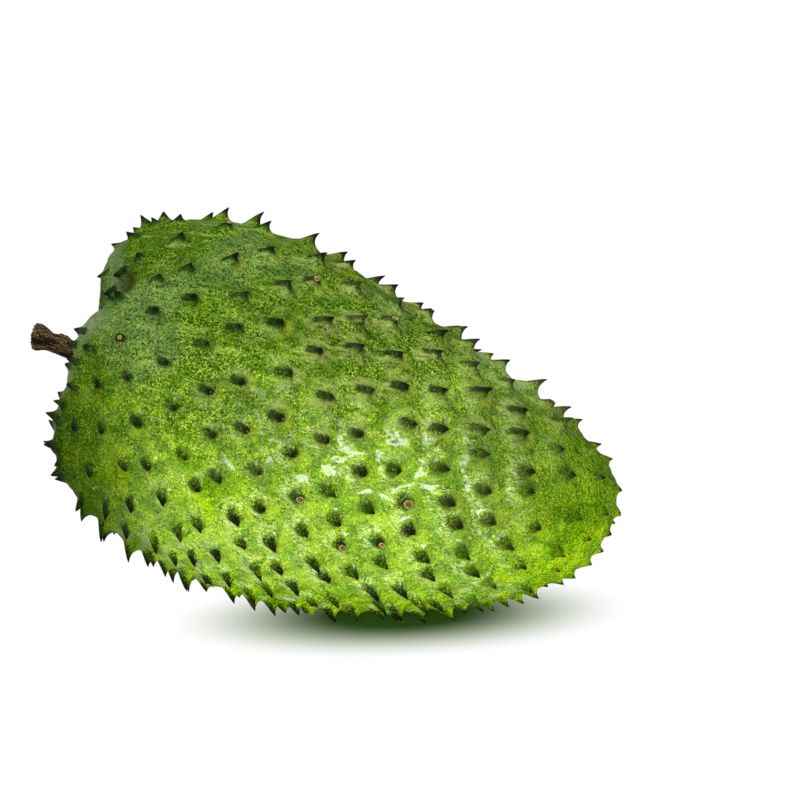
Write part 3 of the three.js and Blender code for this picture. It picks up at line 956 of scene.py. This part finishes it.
slant = BREAK_SLANT * thick * east * smooth(0.86, 1, t) + BREAK_ROUGHNESS * threads * smooth(0.93, 1, t)
out_by = STEM_GAP + t * STEM_LENGTH + slant
points = stem_point((thick * east + FULL_RISE * t * t).ravel(), (thick * north).ravel(), out_by.ravel())
faces = []
for j in range(STEM_RINGS - 1):
    for k in range(STEM_ROUND):
        this, following = j * STEM_ROUND, (j + 1) * STEM_ROUND
        beside_k = (k + 1) % STEM_ROUND
        faces.append((this + k, this + beside_k, following + beside_k, following + k))
print("stem", round(2 * float(thick.min()), 1), "to", round(2 * float(thick.max()), 1), "mm thick")

# %% The torn face, hollow toward the pith
lengths, turns = [t.ravel()], [angle.ravel()]
last = (STEM_RINGS - 1) * STEM_ROUND
for share in (0.86, 0.66, 0.42, 0.2):
    rim_radius = thick[-1] * share
    torn = rough(east[-1] * 4 * share, north[-1] * 4 * share, angle[-1] * 0 + share, 1.6)
    slope = BREAK_SLANT * rim_radius * east[-1] - BREAK_DEPTH * (1 - share)
    out_by = STEM_GAP + STEM_LENGTH + slope + BREAK_ROUGHNESS * torn
    ring = stem_point(rim_radius * east[-1] + FULL_RISE, rim_radius * north[-1], out_by)
    start = len(points)
    points = np.concatenate([points, ring])
    for k in range(STEM_ROUND):
        beside_k = (k + 1) % STEM_ROUND
        faces.append((last + k, last + beside_k, start + beside_k, start + k))
    last = start
    lengths.append(np.full(STEM_ROUND, 1.0 + 0.1 * (1 - share)))
    turns.append(angle[-1])

# a fan closes each end, at one point on the stem's axis
foot = STEM_GAP - STEM_INSIDE * STEM_LENGTH
for first, up_by, out_by, length, backwards in (
        (last, FULL_RISE, STEM_LENGTH - 0.9, 1.1, False), (0, 0.0, foot, -STEM_INSIDE, True)):
    middle = len(points)
    points = np.concatenate([points, stem_point(np.array([up_by]), np.array([0.0]), np.array([out_by]))])
    lengths.append(np.array([length]))
    turns.append(np.array([0.0]))
    for k in range(STEM_ROUND):
        pair = (first + k, first + (k + 1) % STEM_ROUND)
        faces.append((*(pair[::-1] if backwards else pair), middle))
print(len(points), "points,", len(faces), "faces")

# %% Stem mesh
stem = new_mesh("woody_stem", points * MM, faces)
lengths, turns = np.concatenate(lengths), np.concatenate(turns)
bark_only = np.full(len(points) - bark.size, 0.2)
give(stem, "lengthwise", lengths)
give(stem, "roundabout", np.stack([np.cos(turns), np.sin(turns), lengths], -1))
give(stem, "bark", np.concatenate([(bark + fissure).ravel(), bark_only]))
stem.data.shade_smooth()
print("stem", len(stem.data.polygons), "faces")

# %% [markdown]
# ## The calyx
#
# Where the flower sat, a thin dry collar stays round the foot of the stem, with three short pointed lobes. It
# could be cut from a flat sheet and bent, but it follows the floor of the dimple, so it is made as a strip
# over the same skin, thicker by the stem and curling up a little toward the points.

# %% Calyx shape
SEGMENTS, STEPS = 180, 16
LOBE_TURN, LOBE_STARTS = 120, 0.45
COLLAR_GAP, COLLAR_THICK, COLLAR_EDGE = 0.05, 1.9, 0.6

inner = STEM_RADIUS * (1 + FOOT_FLARE) - 0.9
girth = HALF_WIDTH * (1 + SWELL_TO_STEM)
bearing = 360 - np.arange(SEGMENTS) * 360 / SEGMENTS
on_lobe = np.abs((bearing - LOBE_AROUND + 360) % LOBE_TURN - LOBE_TURN / 2) / (LOBE_TURN / 2)
lobe = LOBE_LENGTH * np.maximum(0, (on_lobe - LOBE_STARTS) / (1 - LOBE_STARTS)) ** 1.3
turn = np.radians(bearing)
ragged_edge = rough(np.cos(turn) * 4, np.sin(turn) * 4, np.full(SEGMENTS, 2.0))
reach = COLLAR_RADIUS + lobe + 0.5 * ragged_edge
points = []
for face in (0, 1):
    for j in range(STEPS + 1):
        t = j / STEPS
        r = inner + (reach - inner) * t
        ground = settle(skin(direction(np.degrees((r / girth) ** (1 / BLUNTNESS)), bearing)))
        crumple = rough(*ground.T, 0.9)
        edge = 1 - (2 * t - 1) ** 8
        curl = 1.1 * t * t * (reach - COLLAR_RADIUS) / LOBE_LENGTH
        thickness = face * (COLLAR_THICK - (COLLAR_THICK - COLLAR_EDGE) * t)
        raise_by = COLLAR_GAP + curl + (thickness + 0.45 * crumple) * edge
        points.append(ground + raise_by[:, None] * stem_out)
points = np.concatenate(points)
print(len(points), "points, lobes to", round(float(reach.max()), 1), "mm from the stem's axis")


# %% Calyx mesh
def at(face, j, k):
    return (face * (STEPS + 1) + j) * SEGMENTS + k % SEGMENTS


faces = []
for k in range(SEGMENTS):
    for j in range(STEPS):
        faces.append((at(1, j, k), at(1, j + 1, k), at(1, j + 1, k + 1), at(1, j, k + 1)))
        faces.append((at(0, j, k), at(0, j, k + 1), at(0, j + 1, k + 1), at(0, j + 1, k)))
    faces.append((at(0, 0, k), at(1, 0, k), at(1, 0, k + 1), at(0, 0, k + 1)))
    faces.append((at(0, STEPS, k), at(0, STEPS, k + 1), at(1, STEPS, k + 1), at(1, STEPS, k)))
calyx = new_mesh("dried_calyx", points * MM, faces)
calyx.data.shade_smooth()
print("calyx", len(calyx.data.polygons), "faces")

# %% [markdown]
# ## Bark and dry calyx finishes
#
# The bark is dark umber with paler, worn ridges and near-black cracks; the torn end shows fibres. The streaks
# have to run with the stem, so the pattern reads the stem's own lengthwise and roundabout attributes, not
# its place in the room. Neither finish is glossy: dry bark and dry leaf hardly shine.

# %% Bark
bark_finish, m = new_finish("soursop_bark")
wrap = known(m, "roundabout", "Vector")
streak = m.noise(stretched(m, wrap, (1.0, 1.0, 4.5)), 6.0, 6.0, 0.65)
fleck = m.noise(wrap, 30.0, 4.0, 0.7)
torn_wood = m.blend(m.ramp(fleck, 0.4, 0.6), colour(66, 46, 32), colour(128, 98, 70))
wood = paint(
    m, m.blend(m.ramp(streak, 0.42, 0.66), colour(24, 12, 2), colour(68, 44, 24)),
    (m.ramp(fleck, 0.53, 0.63) * 0.85, colour(172, 148, 112)),
    (m.ramp(known(m, "bark"), 0.02, -0.30), colour(26, 18, 13)),
    (m.ramp(known(m, "lengthwise"), 0.985, 1.01) * 0.75, torn_wood))
shade(
    m, wood, 0.72 + fleck * 0.2, bumps(m, streak * 0.7 + fleck * 0.5, 0.9, 0.7 * MM),
    {"Specular IOR Level": 0.1, "IOR": 1.2})
m.print_count("bark finish")

# %% Dry calyx
calyx_finish, m = new_finish("soursop_calyx")
here = m.node("ShaderNodeTexCoord", out="Object")
mottle = m.noise(here, 240.0, 4.0, 0.6)
dry = m.blend(m.ramp(mottle, 0.40, 0.66), colour(52, 50, 26), colour(124, 122, 72))
crumpled = bumps(m, mottle + m.noise(here, 900.0) * 0.4, 0.8, 0.6 * MM)
shade(m, dry, 0.7 + mottle * 0.2, crumpled, {"Specular IOR Level": 0.35})
m.print_count("calyx finish")

# %% Stem and calyx on the model
for piece, node, slot, finish in (
        (stem, "stem", "bark", bark_finish), (calyx, "calyx", "calyx", calyx_finish)):
    piece.data.materials.append(finish)
    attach(piece, "root")
    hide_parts(node)
print("stem and calyx finished")

# %% [markdown]
# ## Floor, light and camera
#
# The fruit lies on a plain white sheet under two soft boxes: one high above and a little to the left, and one
# low in front. The light that the sheet gives back to the fruit is that of a white sheet everywhere. To the
# eye, a patch of it under the fruit and a little in front is dark green, as the shade of a big green fruit
# is, and it fades to a pure white that meets the white world without a horizon. Light Path tells the eye's
# rays from the others.


# %% Sheet
def shown(tree):
    """1 for the rays that look at the background: straight, in a reflection or through something clear."""
    straight, mirrored, through = (
        tree.node("ShaderNodeLightPath", out=f"Is {ray} Ray") for ray in ("Camera", "Glossy", "Transmission"))
    return tree.smaller(straight + mirrored + through, 1.0)


WHITE = (1.0, 1.0, 1.0, 1.0)
SHEET_WHITE = (0.93, 0.93, 0.93, 1.0)
SHADE_GREEN, FADING_GREEN = (0.05, 0.13, 0.02, 1.0), (0.88, 1.0, 0.72, 1.0)
SHADE_PLACE, SHADE_TURN, SHADE_FLATTEN = (48.7 * MM, -8.0 * MM, 0.0), math.radians(26.5), 0.41
SHADE_CORE, SHADE_EDGE = 25.5 * MM, 100 * MM
SHEET_HALF, SHEET_DROP = 9, -0.3 * MM

floor = new_mesh(
    "floor", [(x * SHEET_HALF, y * SHEET_HALF, SHEET_DROP) for x, y in ((-1, -1), (1, -1), (1, 1), (-1, 1))],
    [(0, 1, 2, 3)])
floor_finish, m = new_finish("white_sheet")
from_shade = m.node("ShaderNodeMapping", {"vector_type": "TEXTURE"}, {
    "Vector": m.node("ShaderNodeTexCoord", out="Object"), "Location": SHADE_PLACE,
    "Rotation": (0.0, 0.0, SHADE_TURN), "Scale": (1.0, SHADE_FLATTEN, 1.0)})
far_off = m.ramp(m.length(from_shade), SHADE_CORE, SHADE_EDGE)
sheet = m.node("ShaderNodeBsdfDiffuse", {}, {"Color": m.blend(shown(m), SHEET_WHITE, SHADE_GREEN)})
glow = m.node("ShaderNodeEmission", {}, {"Color": m.blend(far_off, FADING_GREEN, WHITE), "Strength": 1.0})
mixed = m.node("ShaderNodeMixShader", {}, {0: far_off * shown(m), 1: sheet, 2: glow})
m.node("ShaderNodeOutputMaterial", {}, {"Surface": mixed}, None)
floor.data.materials.append(floor_finish)
floor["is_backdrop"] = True
print("sheet", 2 * SHEET_HALF, "m wide")

# %% World
WORLD_FILL = 0.2

world = bpy.data.worlds.new("studio")
bpy.context.scene.world = world
world.use_nodes = True
world.node_tree.nodes.clear()
m = Tree(world.node_tree)
strength = shown(m) * (1 - WORLD_FILL) + WORLD_FILL
back = m.node("ShaderNodeBackground", {}, {"Color": WHITE, "Strength": strength})
m.node("ShaderNodeOutputWorld", {}, {"Surface": back}, None)
print("world is seen white and lights the fruit at", WORLD_FILL)


# %% Lamps
def turn_to(piece, eye_way):
    """Turns a lamp or camera so that it looks the given way, upright."""
    piece.rotation_euler = eye_way.to_track_quat("-Z", "Y").to_euler()


def soft_box(name, place, target, width, depth, power):
    light = bpy.data.lights.new(name, "AREA")
    light.shape, light.size, light.size_y, light.energy = "RECTANGLE", width, depth, power
    lamp = bpy.data.objects.new(name, light)
    bpy.context.scene.collection.objects.link(lamp)
    lamp.location = place
    turn_to(lamp, Vector(target) - Vector(place))
    print(name, "is", power, "watts")


soft_box("sky_box", (-0.35, -0.15, 1.30), (0, 0, 0.07), 0.5, 0.5, 18)
soft_box("front_box", (0.45, -1.30, 0.50), (0, 0, 0.06), 0.5, 0.4, 18)

# %% Camera
AZIMUTH, ELEVATION, DISTANCE = math.radians(20), math.radians(20), 0.768

camera = bpy.data.cameras.new("camera")
camera.sensor_width, camera.lens = 36.0, 82.5
camera.shift_x, camera.shift_y = 0.1275, 0.0375
eye = bpy.data.objects.new("camera", camera)
bpy.context.scene.collection.objects.link(eye)
level_part = math.cos(ELEVATION)
away = Vector((math.sin(AZIMUTH) * level_part, -math.cos(AZIMUTH) * level_part, math.sin(ELEVATION)))
eye.location = Vector((0, 0, (centre[2] - lowest - PRESS) * MM)) + away * DISTANCE
turn_to(eye, -away)
bpy.context.scene.camera = eye
bpy.context.scene.view_settings.view_transform = "Standard"
print("camera stands at", [round(v, 3) for v in eye.location])

# %% [markdown]
# ## Finish
#
# The box of the finished model is written beside the box of the packed one, to see that nothing grew.

# %% Measure and finish
made_box = plain_box(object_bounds())
print_size("made model,", made_box)
